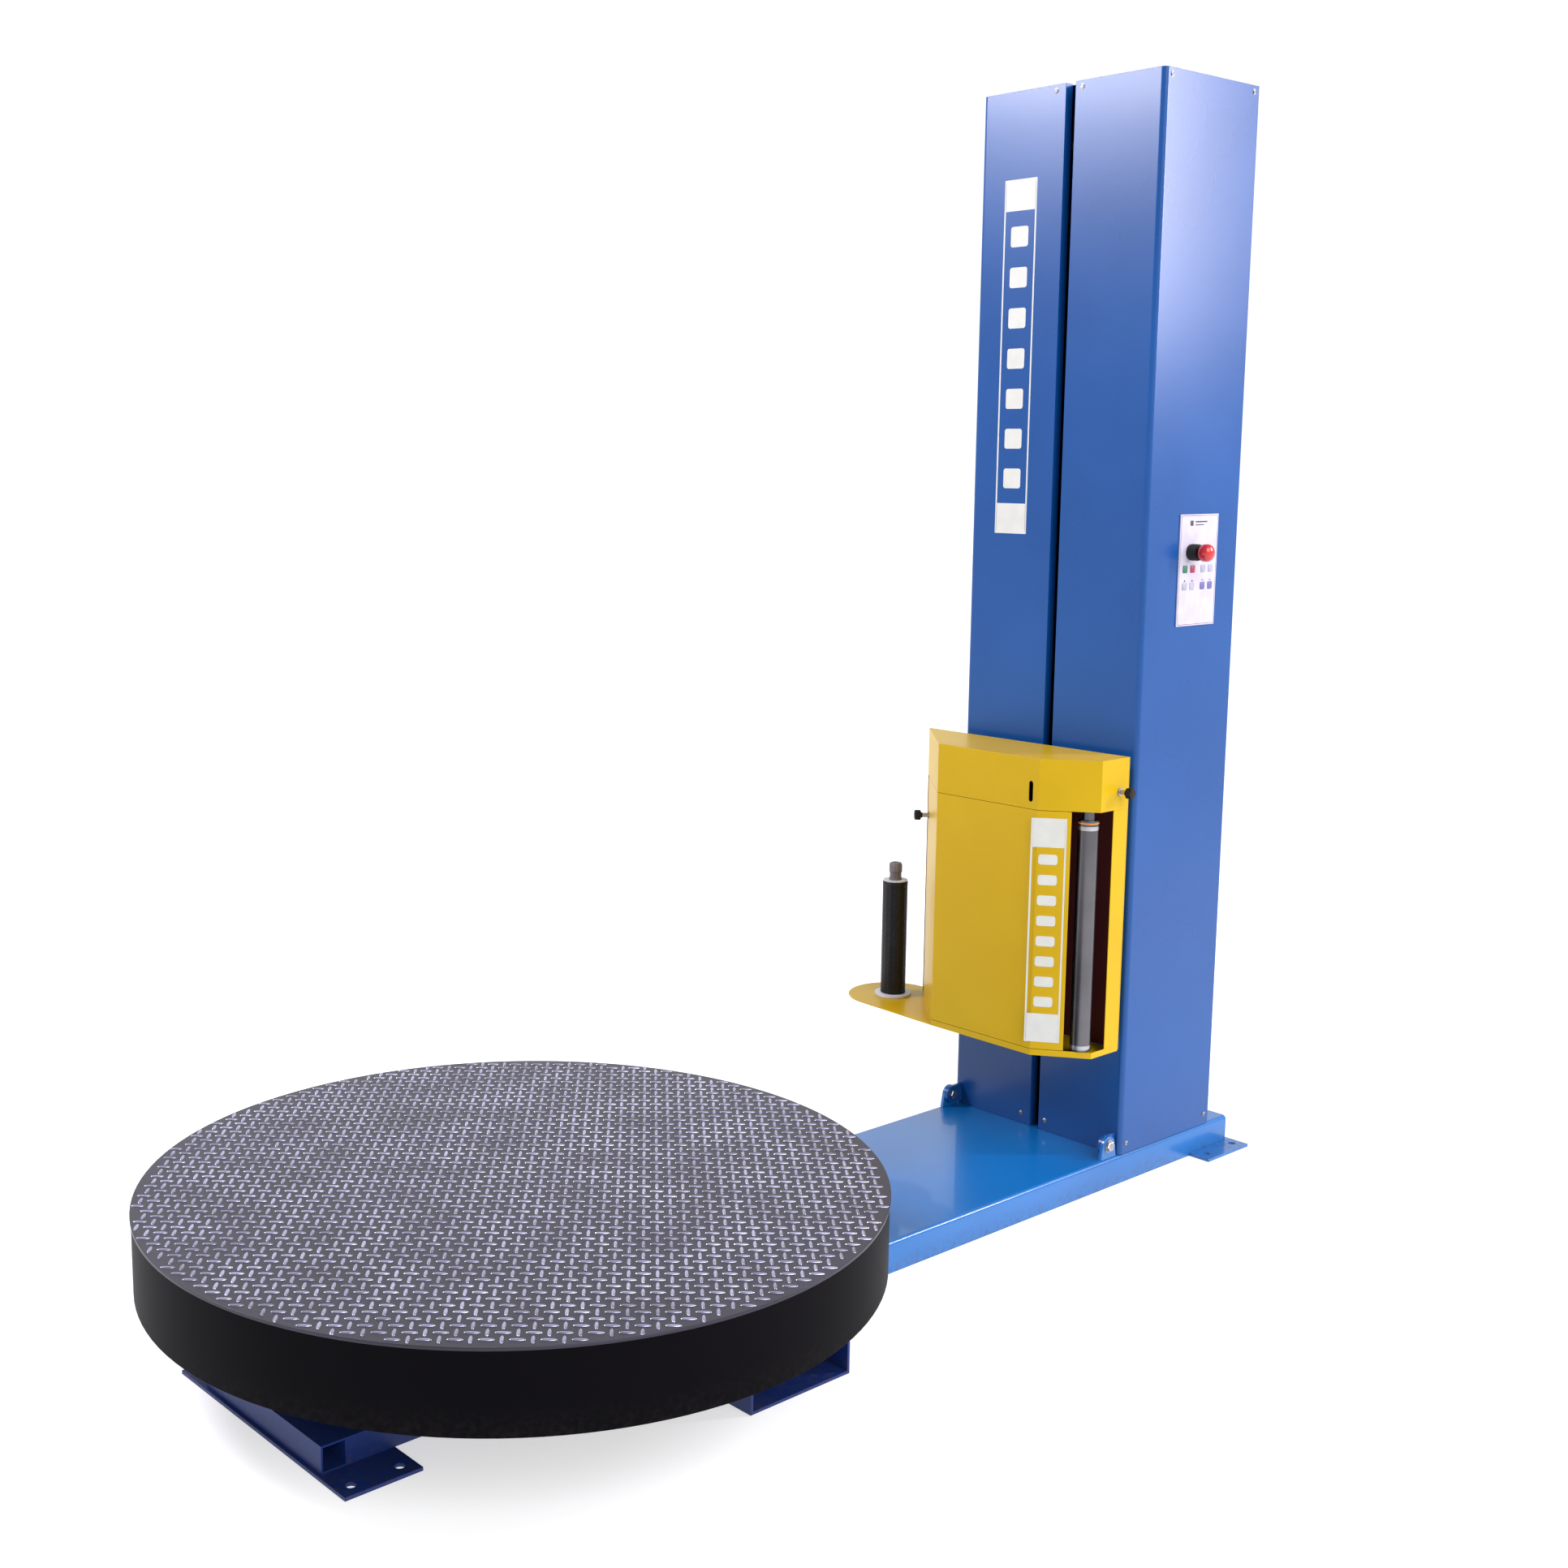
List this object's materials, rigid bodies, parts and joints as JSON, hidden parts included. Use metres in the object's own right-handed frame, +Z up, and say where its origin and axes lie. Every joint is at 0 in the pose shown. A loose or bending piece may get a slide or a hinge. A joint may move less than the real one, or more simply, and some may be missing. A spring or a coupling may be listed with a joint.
{
  "type": "turntable pallet wrapper",
  "caption": "Low round turntable with a tread-plate top, a fold-down mast with a lifting film carriage, stretch rollers and a film spindle.",
  "frame": {"origin": "centre of the machine's outline at floor level", "axes": "+X along the base from the turntable to the mast, +Z up"},
  "size_m": [2.6848, 1.4, 2.488],
  "materials": {
    "base_blue": "semi-gloss paint",
    "mast_blue": "semi-gloss paint",
    "frame_dark": "satin paint",
    "skirt_black": "satin paint",
    "tread_grey": "textured paint on tread plate",
    "carriage_yellow": "semi-gloss paint",
    "zinc_steel": "zinc plated",
    "machined_steel": "machined and oiled",
    "chain_steel": "oiled",
    "roller_steel": "turned",
    "roller_rubber": "ground rubber",
    "wheel_nylon": "cast nylon",
    "motor_grey": "cast housing, painted",
    "panel_white": "film overlay",
    "enclosure_grey": "powder coat",
    "key_print": "embossed film",
    "stop_red": "moulded",
    "black_plastic": "moulded",
    "white_plastic": "moulded",
    "grey_plastic": "moulded"
  },
  "bodies": {
    "root": {"base_channel": "base_blue", "base_hinge_lugs": "base_blue", "drive_chain": "chain_steel", "fork_tray": "base_blue", "front_foot_plate": "base_blue", "hinge_bolts": "zinc_steel", "king_pin": "machined_steel", "rear_foot_plate": "base_blue", "support_spider": "frame_dark", "table_bearing": "machined_steel", "table_gearmotor": "motor_grey", "under_frame": "frame_dark", "wheel_brackets": "frame_dark"},
    "table": {"table_plate": "tread_grey", "table_skirt": "skirt_black", "table_ribs": "frame_dark", "ring_sprocket": "machined_steel"},
    "drive_sprocket_body": {"drive_sprocket": "machined_steel"},
    "mast": {"mast_cover_left": "mast_blue", "mast_cover_right": "mast_blue", "mast_back_cover": "mast_blue", "mast_top_cap": "mast_blue", "mast_column": "frame_dark", "guide_rails": "machined_steel", "mast_hinge_lugs": "mast_blue", "cover_screws": "zinc_steel", "lift_chain": "chain_steel", "lift_gearmotor": "motor_grey", "control_panel": "panel_white", "control_box": "enclosure_grey", "estop_collar": "black_plastic", "keypad": "key_print", "cable_gland": "black_plastic"},
    "lift_sprocket_top_body": {"lift_sprocket_top": "machined_steel"},
    "lift_sprocket_foot_body": {"lift_sprocket_foot": "machined_steel"},
    "estop": {"estop_head": "stop_red"},
    "carriage": {"trolley": "zinc_steel", "trolley_wheels": "wheel_nylon", "carriage_floor": "carriage_yellow", "gear_plate": "zinc_steel", "carriage_hood": "carriage_yellow", "carriage_back_plate": "carriage_yellow", "carriage_side": "carriage_yellow", "door_hinge_rod": "zinc_steel", "spindle_shaft": "zinc_steel", "film_brake": "motor_grey"},
    "door": {"film_door": "carriage_yellow"},
    "latch": {"door_knob": "black_plastic"},
    "tension": {"tension_knob": "black_plastic"},
    "spindle": {"spindle_discs": "white_plastic", "film_mandrel": "black_plastic", "spindle_cap": "grey_plastic"},
    "infeed": {"infeed_roller": "roller_steel"},
    "slow": {"slow_roller": "roller_rubber"},
    "fast": {"fast_roller": "roller_rubber"},
    "exit": {"exit_roller": "roller_steel"},
    "wheel_1": {"support_wheel_1": "wheel_nylon"},
    "wheel_2": {"support_wheel_2": "wheel_nylon"},
    "wheel_3": {"support_wheel_3": "wheel_nylon"},
    "wheel_4": {"support_wheel_4": "wheel_nylon"}
  },
  "joints": [
    {"name": "table_spin", "type": "hinge", "parent": "root", "child": "table", "pos_m": [-0.6425, 0, 0.2], "axis": [0, 0, 1], "continuous": true},
    {"name": "wheel_spin_1", "type": "hinge", "parent": "root", "child": "wheel_1", "pos_m": [-0.33844, 0.30406, 0.1987], "axis": [0.7071, 0.7071, 0], "continuous": true},
    {"name": "wheel_spin_2", "type": "hinge", "parent": "root", "child": "wheel_2", "pos_m": [-0.94656, 0.30406, 0.1987], "axis": [-0.7071, 0.7071, 0], "continuous": true},
    {"name": "wheel_spin_3", "type": "hinge", "parent": "root", "child": "wheel_3", "pos_m": [-0.94656, -0.30406, 0.1987], "axis": [-0.7071, -0.7071, 0], "continuous": true},
    {"name": "wheel_spin_4", "type": "hinge", "parent": "root", "child": "wheel_4", "pos_m": [-0.33844, -0.30406, 0.1987], "axis": [0.7071, -0.7071, 0], "continuous": true},
    {"name": "drive_spin", "type": "hinge", "parent": "root", "child": "drive_sprocket_body", "pos_m": [-0.9725, 0, 0.191], "axis": [0, 0, 1], "continuous": true},
    {"name": "mast_fold", "type": "hinge", "parent": "root", "child": "mast", "pos_m": [0.8625, 0, 0.098], "axis": [0, -1, 0], "range_deg": [0, 45]},
    {"name": "carriage_lift", "type": "slide", "parent": "mast", "child": "carriage", "axis": [0, 0, 1], "range_m": [0, 1.4]},
    {"name": "lift_top_spin", "type": "hinge", "parent": "mast", "child": "lift_sprocket_top_body", "pos_m": [1.0575, 0, 2.38], "axis": [0, 1, 0], "range_deg": [0, 2120]},
    {"name": "lift_foot_spin", "type": "hinge", "parent": "mast", "child": "lift_sprocket_foot_body", "pos_m": [1.0575, 0, 0.15], "axis": [0, 1, 0], "range_deg": [0, 2120]},
    {"name": "estop_press", "type": "slide", "parent": "mast", "child": "estop", "axis": [0, 1, 0], "range_m": [0, 0.004], "stiffness_N_per_m": 1500},
    {"name": "door_swing", "type": "hinge", "parent": "carriage", "child": "door", "pos_m": [0.72028, -0.1928, 0.6], "axis": [0, 0, 1], "range_deg": [0, 110]},
    {"name": "latch_turn", "type": "hinge", "parent": "door", "child": "latch", "pos_m": [0.82087, 0.29447, 0.8], "axis": [-0.7263, 0.6874, 0], "range_deg": [0, 90]},
    {"name": "tension_turn", "type": "hinge", "parent": "carriage", "child": "tension", "pos_m": [0.8245, -0.27, 0.933], "axis": [0, -1, 0], "range_deg": [0, 270]},
    {"name": "spindle_spin", "type": "hinge", "parent": "carriage", "child": "spindle", "pos_m": [0.7985, 0.379, 0.45], "axis": [0, 0, 1], "continuous": true},
    {"name": "infeed_spin", "type": "hinge", "parent": "carriage", "child": "infeed", "pos_m": [0.7985, 0.205, 0.6], "axis": [0, 0, 1], "continuous": true},
    {"name": "slow_spin", "type": "hinge", "parent": "carriage", "child": "slow", "pos_m": [0.7655, 0.04, 0.6], "axis": [0, 0, 1], "continuous": true},
    {"name": "fast_spin", "type": "hinge", "parent": "carriage", "child": "fast", "pos_m": [0.7655, -0.068, 0.6], "axis": [0, 0, 1], "continuous": true},
    {"name": "exit_spin", "type": "hinge", "parent": "carriage", "child": "exit", "pos_m": [0.7595, -0.228, 0.6], "axis": [0, 0, 1], "continuous": true}
  ],
  "couplings": [
    {"joint": "wheel_spin_1", "follows": "table_spin", "ratio": -7.8182},
    {"joint": "wheel_spin_2", "follows": "table_spin", "ratio": -7.8182},
    {"joint": "wheel_spin_3", "follows": "table_spin", "ratio": -7.8182},
    {"joint": "wheel_spin_4", "follows": "table_spin", "ratio": -7.8182},
    {"joint": "drive_spin", "follows": "table_spin", "ratio": 3.3333},
    {"joint": "lift_top_spin", "follows": "carriage_lift", "rad_per_m": 26.194},
    {"joint": "lift_foot_spin", "follows": "carriage_lift", "rad_per_m": 26.194},
    {"joint": "fast_spin", "follows": "slow_spin", "ratio": -2.2727}
  ]
}
